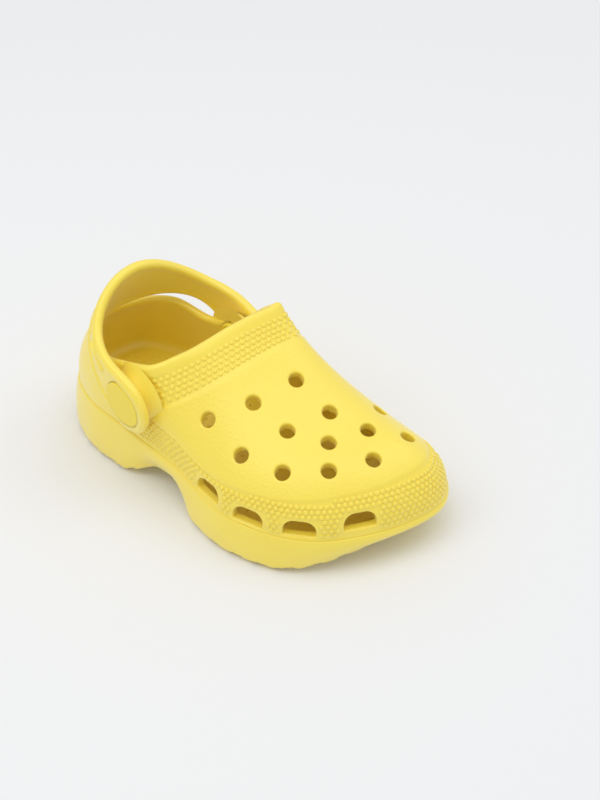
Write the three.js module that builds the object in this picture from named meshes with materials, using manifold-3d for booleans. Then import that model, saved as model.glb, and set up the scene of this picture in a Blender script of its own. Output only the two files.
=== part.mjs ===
// A child's moulded garden clog for the right foot, with its swinging heel strap.
//
// Millimetres. +Z is up, the toe points to -Y, the outer (lateral) side of the foot is -X.
// The origin is on the ground under the middle of the heel tread.
//
// One foam moulding is sole, footbed and upper together. A second foam moulding is the heel strap.
// Two snap rivets, each a stud and a socket, pin the strap to the upper, and it swings about them.

import * as THREE from "three";
import { mergeVertices } from "three/addons/utils/BufferGeometryUtils.js";
import Module from "manifold-3d";

const wasm = await Module();
wasm.setup();

// ---------------------------------------------------------------- driving dimensions

// Sole
const SOLE_LENGTH = 180; // over the top edge of the sole
const HEEL_REACH = 29.5; // from the origin back to the heel's rearmost point
const HEEL_WIDTH = 61.5;
const WAIST_WIDTH = 70;
const BALL_WIDTH = 85;
const SOLE_HEIGHT_HEEL = 26; // ground to the groove that rings the sole
const SOLE_HEIGHT_TOE = 18.5;
const SOLE_FLARE = 2.6; // the foot of the sole's wall stands this far outside its top edge
const SOLE_CORNER = 2.4; // rounding of the sole's lower edge
const TOE_SPRING = 9; // the tread lifts this much at the toe
const ARCH_LIFT = 8; // the underside lifts this much under the waist
const ARCH_UNDERCUT = 5.5; // the sole's wall slopes in this far under the waist
const TOE_UNDERCUT = 8; // and this far under the toe
const TREAD_PITCH = 10.5;
const TREAD_GROOVE_WIDTH = 3;
const TREAD_GROOVE_DEPTH = 1.8;

// Upper
const WALL = 4; // foam thickness of the upper
const RIM_GROOVE = 1.5; // depth of the groove between sole and upper
const RIM_INSET = 0.8; // the upper starts this far inside the sole's top edge
const TOE_BOX_RISE = 23; // the toe box rises this much above the groove before it turns over
const TOE_BOX_ROUND = 26; // and it has turned over this far in from the sole's edge
const TOE_BOX_POWER = 2.1; // 2 rounds it as an ellipse, more makes it squarer
const INSTEP_CURVE = 2.1; // how late the vamp sweeps up to the opening; 1 is a straight ramp
const HEEL_CUP_TOP = 50; // height of the heel cup's lip
const COLLAR_TOP = 74; // height of the opening's front lip at its highest
const FOOTBED_HEEL = 20;
const FOOTBED_TOE = 12.5;
const FOOTBED_FILLET = 5;
const HOLE_DIAMETER = 6.6; // the round vent holes
const VENT_WIDTH = 14; // the drain slots round the toe
const VENT_HEIGHT = 7;

// The round holes lie in four slanted rows, each from the outer side to the inner side.
const HOLE_ROWS = [
  [[-22, -60.5], [-7, -73], [13, -80]],
  [[-25.5, -81.5], [-6.5, -91], [12.5, -98.5]],
  [[-21.5, -100.5], [1, -107], [17.5, -115], [33, -110]],
  [[-9, -115], [7.5, -125.5], [28.5, -128]],
];
// The drain slots: share of the way round the sole's edge from the heel's back round the outer
// side, and how far the slot's flat floor lies above the sole's groove.
const VENTS = [
  [0.288, 1.8], [0.329, 0.9], [0.368, 1.3], [0.41, 3.4],
  [0.585, 3.2], [0.63, 2.4], [0.675, 2],
];

// Strap and rivets
const RIVET_Y = -29.6; // where the rivets' common axis crosses the middle of the clog
const RIVET_Z = 45.3;
const RIVET_SLANT = 8; // degrees: the inner rivet sits further forward than the outer one
const SEAT_HALF_WIDTH = 32.5; // along that axis, out to the flats that the strap turns on
const SEAT_RADIUS = 9.8;
const BOSS_DEPTH = 5.5; // foam between the strap and the rivet's socket
const STRAP_THICKNESS = 4.6;
const STRAP_PAD_RADIUS = 14.6;
const STRAP_ARM_WIDTH = 17;
const STRAP_BACK_WIDTH = 32;
const STRAP_REACH = 48; // from the rivets' axis to the outside of the strap's back
const STRAP_BEND = 36; // length of the oval bend behind the straight arms
const STRAP_SKEW = -2.4; // the bend is fullest this far from the middle, towards the outer side
const STRAP_BACK_RISE = 3.4; // the back of the strap stands above the line of its arms
const STRAP_REST_ANGLE = 25.5; // degrees that the strap stands above level
const STUD_HEAD_RADIUS = 10.6;
const STUD_HEAD_THICKNESS = 2.4;
const STUD_SHANK_RADIUS = 3.3;
const SOCKET_HEAD_RADIUS = 8;
const SOCKET_HEAD_THICKNESS = 2.2;
const SLEEVE_RADIUS = 5; // the socket's sleeve, which the stud's shank snaps into
const CLEARANCE = 0.3; // between any two pieces that fit or turn together

// Mesh fineness
const SLICES = 56; // round the clog
const ROUND = 14; // sides of a small round
const STRAP_STEPS = 32; // along the strap

// ---------------------------------------------------------------- helpers

const mix = (a, b, t) => a + (b - a) * t;
const clamp01 = (t) => Math.min(1, Math.max(0, t));
const smooth = (a, b, t) => {
  const s = clamp01((t - a) / (b - a));
  return s * s * (3 - 2 * s);
};
const degrees = THREE.MathUtils.degToRad;

function solidOf(geometry) {
  const plain = geometry.clone();
  plain.deleteAttribute("normal");
  plain.deleteAttribute("uv");
  const merged = mergeVertices(plain, 1e-4);
  return new wasm.Manifold(
    new wasm.Mesh({
      numProp: 3,
      vertProperties: new Float32Array(merged.attributes.position.array),
      triVerts: new Uint32Array(merged.index.array),
    }),
  );
}

function geometryOf(solid) {
  const mesh = solid.getMesh();
  return new THREE.BufferGeometry()
    .setAttribute("position", new THREE.BufferAttribute(mesh.vertProperties, 3))
    .setIndex(new THREE.BufferAttribute(mesh.triVerts, 1));
}

// A closed skin over rings of equally many points, with a fan over the first and the last ring.
function skin(rings, firstCentre, lastCentre) {
  const count = rings[0].length;
  const points = [...rings.flat(), firstCentre, lastCentre];
  const first = points.length - 2;
  const last = points.length - 1;
  const index = [];
  for (let j = 0; j < rings.length - 1; j++)
    for (let i = 0; i < count; i++) {
      const a = j * count + i;
      const b = j * count + ((i + 1) % count);
      index.push(a, b, b + count, a, b + count, a + count);
    }
  const top = (rings.length - 1) * count;
  for (let i = 0; i < count; i++) {
    const next = (i + 1) % count;
    index.push(first, next, i, last, top + i, top + next);
  }
  return new THREE.BufferGeometry().setFromPoints(points).setIndex(index);
}

// A cylinder about a line parallel to X, from x0 to x1.
function roundAlongX(radius, x0, x1, sides = 2 * ROUND) {
  return new THREE.CylinderGeometry(radius, radius, Math.abs(x1 - x0), sides)
    .rotateZ(Math.PI / 2)
    .translate((x0 + x1) / 2, 0, 0);
}

// ---------------------------------------------------------------- plan of the clog

const TOE_Y = HEEL_REACH - SOLE_LENGTH;
const HEEL_HALF = HEEL_WIDTH / 2;
const WAIST_HALF = WAIST_WIDTH / 2;
const BALL_HALF = BALL_WIDTH / 2;
const BALL_SHIFT = 2; // the ball of the foot lies this far to the inner side of the heel
const along = (share) => mix(HEEL_REACH, TOE_Y, share);

// Stations from the heel's back round the outer side and the toe to the inner side:
// edge of the sole, edge of the opening, height of the opening's lip there.
const cup = HEEL_CUP_TOP;
const top = COLLAR_TOP;
const STATIONS = [
  [[0, HEEL_REACH], [0, along(0.037)], cup],
  [[-0.63 * HEEL_HALF, along(0.037)], [-0.5 * HEEL_HALF, along(0.07)], cup],
  [[-0.97 * HEEL_HALF, along(0.135)], [-0.785 * HEEL_HALF, along(0.145)], cup],
  [[-1.06 * HEEL_HALF, along(0.27)], [-0.865 * HEEL_HALF, along(0.27)], mix(cup, top, 0.28)],
  [[-0.97 * WAIST_HALF, along(0.44)], [-0.73 * WAIST_HALF, along(0.345)], mix(cup, top, 0.48)],
  [[BALL_SHIFT - 0.99 * BALL_HALF, along(0.64)], [-0.4 * WAIST_HALF, along(0.385)], mix(cup, top, 0.62)],
  [[BALL_SHIFT - 0.73 * BALL_HALF, along(0.83)], [-0.1 * WAIST_HALF, along(0.413)], mix(cup, top, 0.77)],
  [[BALL_SHIFT - 0.02 * BALL_HALF, along(0.965)], [0.22 * WAIST_HALF, along(0.437)], mix(cup, top, 0.9)],
  [[BALL_SHIFT + 0.55 * BALL_HALF, along(1)], [0.52 * WAIST_HALF, along(0.46)], mix(cup, top, 0.98)],
  [[BALL_SHIFT + 0.91 * BALL_HALF, along(0.94)], [0.77 * WAIST_HALF, along(0.478)], top],
  [[BALL_SHIFT + BALL_HALF, along(0.78)], [0.91 * WAIST_HALF, along(0.478)], mix(cup, top, 0.98)],
  [[BALL_SHIFT + 0.93 * BALL_HALF, along(0.6)], [0.93 * WAIST_HALF, along(0.43)], mix(cup, top, 0.68)],
  [[1.03 * WAIST_HALF, along(0.43)], [0.9 * WAIST_HALF, along(0.36)], mix(cup, top, 0.17)],
  [[1.08 * HEEL_HALF, along(0.27)], [0.98 * HEEL_HALF, along(0.265)], mix(cup, top, -0.12)],
  [[0.98 * HEEL_HALF, along(0.135)], [0.88 * HEEL_HALF, along(0.145)], cup],
  [[0.66 * HEEL_HALF, along(0.037)], [0.53 * HEEL_HALF, along(0.07)], cup],
];

const loop = (points) => new THREE.CatmullRomCurve3(points, true, "centripetal");
const soleEdge = loop(STATIONS.map(([[x, y]]) => new THREE.Vector3(x, y, 0)));
const lipEdge = loop(STATIONS.map(([, [x, y], z]) => new THREE.Vector3(x, y, z)));

// Station numbers where the heel cup ends and the domed front of the upper is fully formed.
const CUP_END_OUTER = 2.6;
const FRONT_START_OUTER = 5.2;
const FRONT_END_INNER = 10.6;
const CUP_START_INNER = 13.2;

const share = (y) => (HEEL_REACH - y) / SOLE_LENGTH;
const soleTop = (y) => mix(SOLE_HEIGHT_HEEL, SOLE_HEIGHT_TOE, smooth(0.2, 0.62, share(y)));
const footbedTop = (y) => mix(FOOTBED_HEEL, FOOTBED_TOE, smooth(0.2, 0.7, share(y)));
const archShape = (y) => smooth(0.26, 0.37, share(y)) * (1 - smooth(0.41, 0.53, share(y)));
const springShape = (y) => smooth(0.74, 1.03, share(y));

// The underside lifts under the waist and towards the toe.
const underside = (y) => ARCH_LIFT * archShape(y) + TOE_SPRING * springShape(y);

// The toe box rises from the sole's edge as a quarter of an oval and then stays level.
const edgeSamples = soleEdge.getPoints(360).map((e) => new THREE.Vector3(e.x, e.y, 0));
const edgeSegments = edgeSamples.slice(1).map((e, i) => new THREE.Line3(edgeSamples[i], e));
const nearest = new THREE.Vector3();
function insetOf(point) {
  const flat = new THREE.Vector3(point.x, point.y, 0);
  const distances = edgeSegments.map((e) => e.closestPointToPoint(flat, true, nearest).distanceTo(flat));
  return Math.max(0, Math.min(...distances) - RIM_INSET);
}
function toeBox(point) {
  const far = 1 - Math.min(1, insetOf(point) / TOE_BOX_ROUND);
  return TOE_BOX_RISE * (1 - far ** TOE_BOX_POWER) ** (1 / TOE_BOX_POWER);
}

// One slice of the upper, from the sole's groove up to the opening's lip.
function slice(u) {
  const station = u * STATIONS.length;
  const front =
    smooth(CUP_END_OUTER, FRONT_START_OUTER, station) *
    (1 - smooth(FRONT_END_INNER, CUP_START_INNER, station));
  const edge = soleEdge.getPoint(u);
  const ahead = soleEdge.getTangent(u);
  const outward = new THREE.Vector3(ahead.y, -ahead.x, 0).normalize();
  const lip = lipEdge.getPoint(u);
  const start = edge.clone().addScaledVector(outward, -RIM_INSET);
  start.z = soleTop(edge.y);
  const rise = lip.z - start.z;
  const turn = mix(degrees(38), degrees(88), front);
  const domeAtLip = toeBox(lip);
  const at = (t) => {
    const angle = t * turn;
    const inward = (1 - Math.cos(angle)) / (1 - Math.cos(turn));
    const point = start.clone().lerp(lip, inward);
    const wallHeight = rise * (Math.sin(angle) / Math.sin(turn));
    const vampHeight = toeBox(point) + (rise - domeAtLip) * inward ** INSTEP_CURVE;
    point.z = start.z + mix(wallHeight, vampHeight, front);
    return point;
  };
  return { edge, outward, lip, start, at, front };
}

const slices = Array.from({ length: SLICES }, (_, i) => slice(i / SLICES));

// The outward normal of the upper's outer face, from its neighbours.
function normalAt(i, t) {
  const step = 0.02;
  const low = Math.max(0, t - step);
  const high = Math.min(1, t + step);
  const up = slices[i].at(high).sub(slices[i].at(low));
  const before = slices[(i + SLICES - 1) % SLICES].at(t);
  const after = slices[(i + 1) % SLICES].at(t);
  return after.sub(before).cross(up).normalize();
}

// ---------------------------------------------------------------- the clog's body

const OUTER_ROWS = 8;
const INNER_ROWS = 4;
const LIP_ROWS = 4;

// The sole's wall: lower corner, bulge, top edge and the groove under the upper.
function soleWall(s) {
  const y = s.edge.y;
  const height = soleTop(y);
  const tread = underside(y);
  const undercut = ARCH_UNDERCUT * archShape(y) + TOE_UNDERCUT * springShape(y);
  const at = (inset, z) => {
    const point = s.edge.clone().addScaledVector(s.outward, -inset);
    point.z = z;
    return point;
  };
  return [
    at(undercut + SOLE_CORNER - SOLE_FLARE, -1),
    at(undercut + SOLE_CORNER - SOLE_FLARE, tread),
    at(undercut + 0.3 * SOLE_CORNER - SOLE_FLARE, tread + 0.3 * SOLE_CORNER),
    at(undercut - SOLE_FLARE, tread + SOLE_CORNER),
    at(0.4 * undercut - 0.85 * SOLE_FLARE, mix(tread, height, 0.5)),
    at(0.1 * undercut - 0.4 * SOLE_FLARE, mix(tread, height, 0.8)),
    at(0, height - 1.2),
    at(RIM_GROOVE, height - 0.2),
  ];
}

function bodyRings() {
  const columns = slices.map((s, i) => {
    const column = soleWall(s);
    for (let j = 0; j <= OUTER_ROWS; j++) column.push(s.at(j / OUTER_ROWS));
    // The lip is rounded over to the inner face.
    const normal = normalAt(i, 1);
    const over = s.at(1).sub(s.at(0.97)).normalize();
    const middle = s.at(1).addScaledVector(normal, -WALL / 2);
    for (let j = 1; j < LIP_ROWS; j++) {
      const turn = (Math.PI * j) / LIP_ROWS;
      column.push(
        middle
          .clone()
          .addScaledVector(normal, (WALL / 2) * Math.cos(turn))
          .addScaledVector(over, (WALL / 2) * Math.sin(turn)),
      );
    }
    // The inner face lies one wall inside the outer one and ends just above the footbed.
    const floor = footbedTop(s.edge.y);
    let lowest = 0;
    while (s.at(lowest).z < floor + FOOTBED_FILLET + 1) lowest += 0.01;
    for (let j = 0; j <= INNER_ROWS; j++) {
      const t = mix(1, lowest, j / INNER_ROWS);
      column.push(s.at(t).addScaledVector(normalAt(i, t), -WALL));
    }
    const foot = column.at(-1);
    for (const turn of [0.35, 0.7, 1]) {
      const angle = (turn * Math.PI) / 2;
      const point = foot.clone().addScaledVector(s.outward, -FOOTBED_FILLET * (1 - Math.cos(angle)));
      point.z = mix(foot.z, floor, Math.sin(angle));
      column.push(point);
    }
    return column;
  });
  const rings = columns[0].map((_, j) => columns.map((column) => column[j]));
  // The footbed closes in on its middle.
  const middle = new THREE.Vector3(0, along(0.5), 0);
  const last = rings.at(-1);
  for (const size of [0.66, 0.33])
    rings.push(
      last.map((p) => {
        const point = middle.clone().lerp(p, size);
        point.z = footbedTop(point.y);
        return point;
      }),
    );
  const first = new THREE.Vector3(0, middle.y, -1);
  const end = new THREE.Vector3(0, middle.y, footbedTop(middle.y));
  return [rings, first, end];
}

// Tool shapes run along X: a profile drawn in (y, z) is pushed from one side to the other.
const YZ_TO_X = new THREE.Matrix4().makeBasis(
  new THREE.Vector3(0, 1, 0),
  new THREE.Vector3(0, 0, 1),
  new THREE.Vector3(1, 0, 0),
);
const REACH = 100; // tools run this far past the clog

// Everything below the tread: the arch, the toe spring and the grooves across the sole.
function undersideTool() {
  const shape = new THREE.Shape();
  const end = TOE_Y - TREAD_PITCH;
  const half = TREAD_GROOVE_WIDTH / 2;
  shape.moveTo(end, -REACH);
  shape.lineTo(HEEL_REACH + TREAD_PITCH, -REACH);
  const lands = Math.ceil((HEEL_REACH - end) / TREAD_PITCH);
  const firstLand = Math.ceil(HEEL_REACH / TREAD_PITCH);
  for (let k = 0; k <= lands; k++) {
    const land = (firstLand - k) * TREAD_PITCH;
    const groove = land - TREAD_PITCH / 2;
    for (const y of [land, groove + half]) shape.lineTo(y, underside(y));
    if (archShape(groove) > 0 || groove - half < end) {
      shape.lineTo(groove, underside(groove));
      continue;
    }
    for (const y of [groove + half, groove - half])
      shape.lineTo(y, underside(y) + TREAD_GROOVE_DEPTH);
    shape.lineTo(groove - half, underside(groove - half));
  }
  return new THREE.ExtrudeGeometry(shape, { depth: 2 * REACH, bevelEnabled: false })
    .translate(0, 0, -REACH)
    .applyMatrix4(YZ_TO_X);
}

// Where the upper's outer face lies under a point of the plan, and which way it faces there.
function vampAt(x, y) {
  let best = null;
  for (let i = 0; i < SLICES; i++)
    for (let j = 1; j < OUTER_ROWS * 2; j++) {
      const t = j / (OUTER_ROWS * 2);
      const point = slices[i].at(t);
      const away = Math.hypot(point.x - x, point.y - y);
      if (!best || away < best.away) best = { away, point, i, t };
    }
  return { point: new THREE.Vector3(x, y, best.point.z), normal: normalAt(best.i, best.t) };
}

// Round vent holes stand between square to the vamp and straight up, as a mould's pins do.
function roundHole(x, y) {
  const { point, normal } = vampAt(x, y);
  const axis = normal.lerp(new THREE.Vector3(0, 0, 1), 0.3).normalize();
  const turn = new THREE.Quaternion().setFromUnitVectors(new THREE.Vector3(0, 1, 0), axis);
  return new THREE.CylinderGeometry(HOLE_DIAMETER / 2, HOLE_DIAMETER / 2, 5 * WALL, ROUND)
    .applyQuaternion(turn)
    .translate(point.x, point.y, point.z);
}

// A drain slot has a flat floor and a rounded top, and looks straight out through the toe's wall.
function drainSlot(u, lift) {
  const half = VENT_WIDTH / 2;
  const round = 0.7 * VENT_HEIGHT;
  const shape = new THREE.Shape();
  shape.moveTo(-half, 0);
  shape.lineTo(half, 0);
  shape.absarc(half - round, VENT_HEIGHT - round, round, 0, Math.PI / 2, false);
  shape.absarc(round - half, VENT_HEIGHT - round, round, Math.PI / 2, Math.PI, false);
  const s = slice(u);
  const sideways = new THREE.Vector3(0, 0, 1).cross(s.outward).normalize();
  const place = new THREE.Matrix4().makeBasis(sideways, new THREE.Vector3(0, 0, 1), s.outward);
  const depth = 4 * WALL;
  return new THREE.ExtrudeGeometry(shape, { depth, bevelEnabled: false, curveSegments: 4 })
    .translate(0, 0, -0.8 * depth)
    .applyMatrix4(place)
    .translate(s.edge.x, s.edge.y, soleTop(s.edge.y) + lift);
}

const SIDES = { lateral: -1, medial: 1 };
// The rivets' own frame: its X axis is the line through both rivets.
const RIVET_FRAME = new THREE.Matrix4()
  .makeTranslation(0, RIVET_Y, RIVET_Z)
  .multiply(new THREE.Matrix4().makeRotationZ(-degrees(RIVET_SLANT)));
const BOSS_INSIDE = SEAT_HALF_WIDTH - BOSS_DEPTH; // where the rivet's socket bears inside the upper

function bodySolid() {
  let solid = solidOf(skin(...bodyRings()));
  for (const side of Object.values(SIDES)) {
    const round = (radius, from, to) =>
      solidOf(roundAlongX(radius, side * from, side * to).applyMatrix4(RIVET_FRAME));
    solid = solid
      .add(round(SEAT_RADIUS, BOSS_INSIDE, SEAT_HALF_WIDTH))
      .subtract(round(STRAP_PAD_RADIUS + WALL, SEAT_HALF_WIDTH, SEAT_HALF_WIDTH + REACH))
      .subtract(round(SOCKET_HEAD_RADIUS + 3 * CLEARANCE, BOSS_INSIDE - 2 * WALL, BOSS_INSIDE))
      .subtract(round(SLEEVE_RADIUS + CLEARANCE, BOSS_INSIDE - WALL, SEAT_HALF_WIDTH + WALL));
  }
  solid = solid.subtract(solidOf(undersideTool()));
  for (const [x, y] of HOLE_ROWS.flat()) solid = solid.subtract(solidOf(roundHole(x, y)));
  for (const [u, lift] of VENTS) solid = solid.subtract(solidOf(drainSlot(u, lift)));
  return solid;
}

// ---------------------------------------------------------------- heel strap and rivets

const STRAP_INSIDE = SEAT_HALF_WIDTH + CLEARANCE;
const STRAP_OUTSIDE = STRAP_INSIDE + STRAP_THICKNESS;
const STRAP_MIDDLE = STRAP_INSIDE + STRAP_THICKNESS / 2;

// The strap's middle line, seen square to the strap: straight arms, then a half oval behind the heel.
function strapPath() {
  const straight = STRAP_REACH - STRAP_THICKNESS / 2 - STRAP_BEND;
  const path = new THREE.CurvePath();
  const at = (x, y) => new THREE.Vector3(x, y, 0);
  path.add(new THREE.LineCurve3(at(-STRAP_MIDDLE, 0), at(-STRAP_MIDDLE, straight)));
  const oval = new THREE.EllipseCurve(0, straight, STRAP_MIDDLE, STRAP_BEND, Math.PI, 0, true);
  const skewed = (p) => at(p.x + STRAP_SKEW * ((p.y - straight) / STRAP_BEND) ** 2, p.y);
  path.add(new THREE.CatmullRomCurve3(oval.getPoints(48).map(skewed)));
  path.add(new THREE.LineCurve3(at(STRAP_MIDDLE, straight), at(STRAP_MIDDLE, 0)));
  return path;
}

// Half the strap's width, a distance along it from the rivet's axis; the pad is a disc about the axis.
function strapHalfWidth(distance, halfLength) {
  if (distance < 0) return Math.sqrt(Math.max(0, STRAP_PAD_RADIUS ** 2 - distance ** 2));
  const neck = smooth(0, 2 * STRAP_PAD_RADIUS, distance);
  const arm = mix(STRAP_PAD_RADIUS, STRAP_ARM_WIDTH / 2, neck);
  return mix(arm, STRAP_BACK_WIDTH / 2, smooth(2 * STRAP_PAD_RADIUS, halfLength, distance));
}

function strapGeometry() {
  const path = strapPath();
  const length = path.getLength();
  const section = [
    [-1, -0.8], [-0.72, -1], [0.72, -1], [1, -0.8], [1, 0],
    [1, 0.8], [0.72, 1], [-0.72, 1], [-1, 0.8], [-1, 0],
  ];
  const places = [];
  for (const turn of [14, 28, 43, 60, 76]) places.push(-STRAP_PAD_RADIUS * Math.cos(degrees(turn)));
  for (let k = 0; k <= STRAP_STEPS; k++) places.push((k / STRAP_STEPS) * length);
  for (const turn of [76, 60, 43, 28, 14]) places.push(length + STRAP_PAD_RADIUS * Math.cos(degrees(turn)));
  const rings = places.map((place) => {
    const inside = Math.min(length, Math.max(0, place));
    const point = path.getPointAt(inside / length);
    const ahead = path.getTangentAt(inside / length);
    point.addScaledVector(ahead, place - inside);
    const outward = new THREE.Vector3(-ahead.y, ahead.x, 0);
    const half = strapHalfWidth(Math.min(place, length - place), length / 2);
    return section.map(([across, up]) => {
      const corner = point.clone().addScaledVector(outward, (across * STRAP_THICKNESS) / 2);
      corner.z = up * half + STRAP_BACK_RISE * smooth(0, length / 2, Math.min(place, length - place));
      return corner;
    });
  });
  const centre = (ring) => ring.reduce((sum, p) => sum.add(p), new THREE.Vector3()).divideScalar(ring.length);
  return skin(rings, centre(rings[0]), centre(rings.at(-1)));
}

// In the strap's own frame the rivets' axis is the X axis.
function strapSolid() {
  let solid = solidOf(strapGeometry());
  for (const side of Object.values(SIDES)) {
    const round = (radius, from, to) => solidOf(roundAlongX(radius, side * from, side * to));
    const recess = STRAP_OUTSIDE - STUD_HEAD_THICKNESS;
    solid = solid
      .subtract(round(STUD_HEAD_RADIUS + CLEARANCE, recess, STRAP_OUTSIDE + WALL))
      .subtract(round(STUD_SHANK_RADIUS + CLEARANCE, STRAP_INSIDE - WALL, STRAP_OUTSIDE));
  }
  return solid;
}

// A profile of (distance from the axis, distance from the clog's middle) turned about the rivet's axis.
function turnedAlongX(profile, side, sides) {
  const points = profile.map(([radius, out]) => new THREE.Vector2(radius, out));
  return new THREE.LatheGeometry(points, sides)
    .rotateZ(-Math.PI / 2)
    .rotateY(side < 0 ? Math.PI : 0);
}

const SHANK_END = BOSS_INSIDE - CLEARANCE - SOCKET_HEAD_THICKNESS / 2;

function studGeometry(side) {
  const under = STRAP_OUTSIDE - STUD_HEAD_THICKNESS + CLEARANCE;
  const face = under + STUD_HEAD_THICKNESS;
  const head = STUD_HEAD_RADIUS;
  const shank = STUD_SHANK_RADIUS;
  const profile = [
    [0, SHANK_END], [shank - 0.5, SHANK_END], [shank, SHANK_END + 0.5], [shank, under],
    [head, under], [head, face - 0.5], [head - 0.5, face], [0, face],
  ];
  return turnedAlongX(profile, side, 2 * ROUND);
}

function socketGeometry(side) {
  const face = BOSS_INSIDE - CLEARANCE;
  const back = face - SOCKET_HEAD_THICKNESS;
  const bore = STUD_SHANK_RADIUS + CLEARANCE;
  const profile = [
    [0, back], [SOCKET_HEAD_RADIUS - 0.6, back], [SOCKET_HEAD_RADIUS, back + 0.6], [SOCKET_HEAD_RADIUS, face],
    [SLEEVE_RADIUS, face], [SLEEVE_RADIUS, SEAT_HALF_WIDTH - CLEARANCE], [bore, SEAT_HALF_WIDTH - CLEARANCE],
    [bore, SHANK_END - CLEARANCE], [0, SHANK_END - CLEARANCE],
  ];
  return turnedAlongX(profile, side, 2 * ROUND);
}

// ---------------------------------------------------------------- the assembly

const foam = (color) => new THREE.MeshStandardMaterial({ color, roughness: 0.62, metalness: 0 });
const plastic = (color) => new THREE.MeshStandardMaterial({ color, roughness: 0.42, metalness: 0 });

function part(name, geometry, material) {
  const mesh = new THREE.Mesh(geometry, material);
  mesh.name = name;
  return mesh;
}

const clog = new THREE.Group();
clog.add(part("clog_body", geometryOf(bodySolid()), foam("#f4e06a")));

const rivets = new THREE.Group();
rivets.applyMatrix4(RIVET_FRAME);
clog.add(rivets);

const strapPivot = new THREE.Group();
strapPivot.rotation.x = degrees(STRAP_REST_ANGLE);
strapPivot.add(part("heel_strap", geometryOf(strapSolid()), foam("#f4e06a")));
rivets.add(strapPivot);

for (const [name, side] of Object.entries(SIDES)) {
  rivets.add(part(`rivet_stud_${name}`, studGeometry(side), plastic("#f0d95c")));
  rivets.add(part(`rivet_socket_${name}`, socketGeometry(side), plastic("#f0d95c")));
}

export default clog;
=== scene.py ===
# %% [markdown]
# # A moulded foam garden clog
# The clog is one thick-walled foam moulding with a swinging foam strap and two snap rivets.
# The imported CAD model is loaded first. It is the fixed frame: every piece sits where it says.

# %% Load the frame
import math

import bmesh
import bpy
import numpy as np
from mathutils import Matrix, Vector
from mathutils.bvhtree import BVHTree
from mathutils.kdtree import KDTree


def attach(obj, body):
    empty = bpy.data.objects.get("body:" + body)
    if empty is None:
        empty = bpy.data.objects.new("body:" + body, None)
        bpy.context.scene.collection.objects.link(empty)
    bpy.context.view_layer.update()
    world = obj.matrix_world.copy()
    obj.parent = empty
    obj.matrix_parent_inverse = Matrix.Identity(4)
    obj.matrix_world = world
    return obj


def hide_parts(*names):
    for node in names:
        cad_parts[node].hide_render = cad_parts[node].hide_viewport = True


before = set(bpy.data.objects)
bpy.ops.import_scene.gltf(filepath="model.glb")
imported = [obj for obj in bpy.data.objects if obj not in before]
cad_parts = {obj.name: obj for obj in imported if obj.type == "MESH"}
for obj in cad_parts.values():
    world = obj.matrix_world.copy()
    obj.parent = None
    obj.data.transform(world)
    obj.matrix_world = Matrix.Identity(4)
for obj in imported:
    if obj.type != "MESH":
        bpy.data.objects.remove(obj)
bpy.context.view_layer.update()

# %% [markdown]
# The camera comes before the making. It looks down on the front outer corner of the clog,
# like someone choosing a pair from a low shelf. A long lens keeps the toe from swelling.

# %% Camera
MM = 0.001


def hex_colour(text):
    """sRGB hex to the linear colour that shaders want."""
    parts = [int(text[i : i + 2], 16) / 255 for i in (1, 3, 5)]
    return tuple(p / 12.92 if p <= 0.04045 else ((p + 0.055) / 1.055) ** 2.4 for p in parts) + (1.0,)


def add_camera(target, azimuth, elevation, distance, lens):
    """A camera that looks at target from an azimuth (0 looks along +Y) and an elevation, in degrees."""
    az, el = math.radians(azimuth), math.radians(elevation)
    back = Vector((math.sin(az) * math.cos(el), -math.cos(az) * math.cos(el), math.sin(el)))
    data = bpy.data.cameras.new("camera")
    data.lens = lens
    data.sensor_fit = "VERTICAL"
    data.sensor_height = 36
    data.clip_start = 0.01
    camera = bpy.data.objects.new("camera", data)
    camera.location = Vector(target) + back * distance
    camera.rotation_euler = back.to_track_quat("Z", "Y").to_euler()
    bpy.context.scene.collection.objects.link(camera)
    bpy.context.scene.camera = camera
    return camera


camera = add_camera((0.0345, -0.0645, 0.020), -51, 43, 0.6364, 63)
print("camera at", [round(v, 3) for v in camera.location])

# %% [markdown]
# The upper of a clog has no straight line in it, so its shape is given by rules. Two closed
# curves hold the design: the edge of the sole seen from above, and the lip of the opening.
# Both pass through sixteen stations, from the heel's back round the outer side and the toe.

# %% The two guiding curves
SOLE_LENGTH = 180.0
HEEL_REACH = 29.5
HEEL_HALF = 30.75
WAIST_HALF = 35.0
BALL_HALF = 42.5
BALL_SHIFT = 2.0
CUP = 50.0
TOP = 74.0


def mix(a, b, t):
    return a + (b - a) * t


def smooth(a, b, t):
    s = np.clip((t - a) / (b - a), 0, 1)
    return s * s * (3 - 2 * s)


def along(part):
    """Distance from the heel towards the toe as a share of the sole's length, as a Y."""
    return HEEL_REACH - SOLE_LENGTH * part


def rise(part):
    """A height between the heel cup's lip and the top of the collar."""
    return mix(CUP, TOP, part)


H, W, B, S = HEEL_HALF, WAIST_HALF, BALL_HALF, BALL_SHIFT
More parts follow.
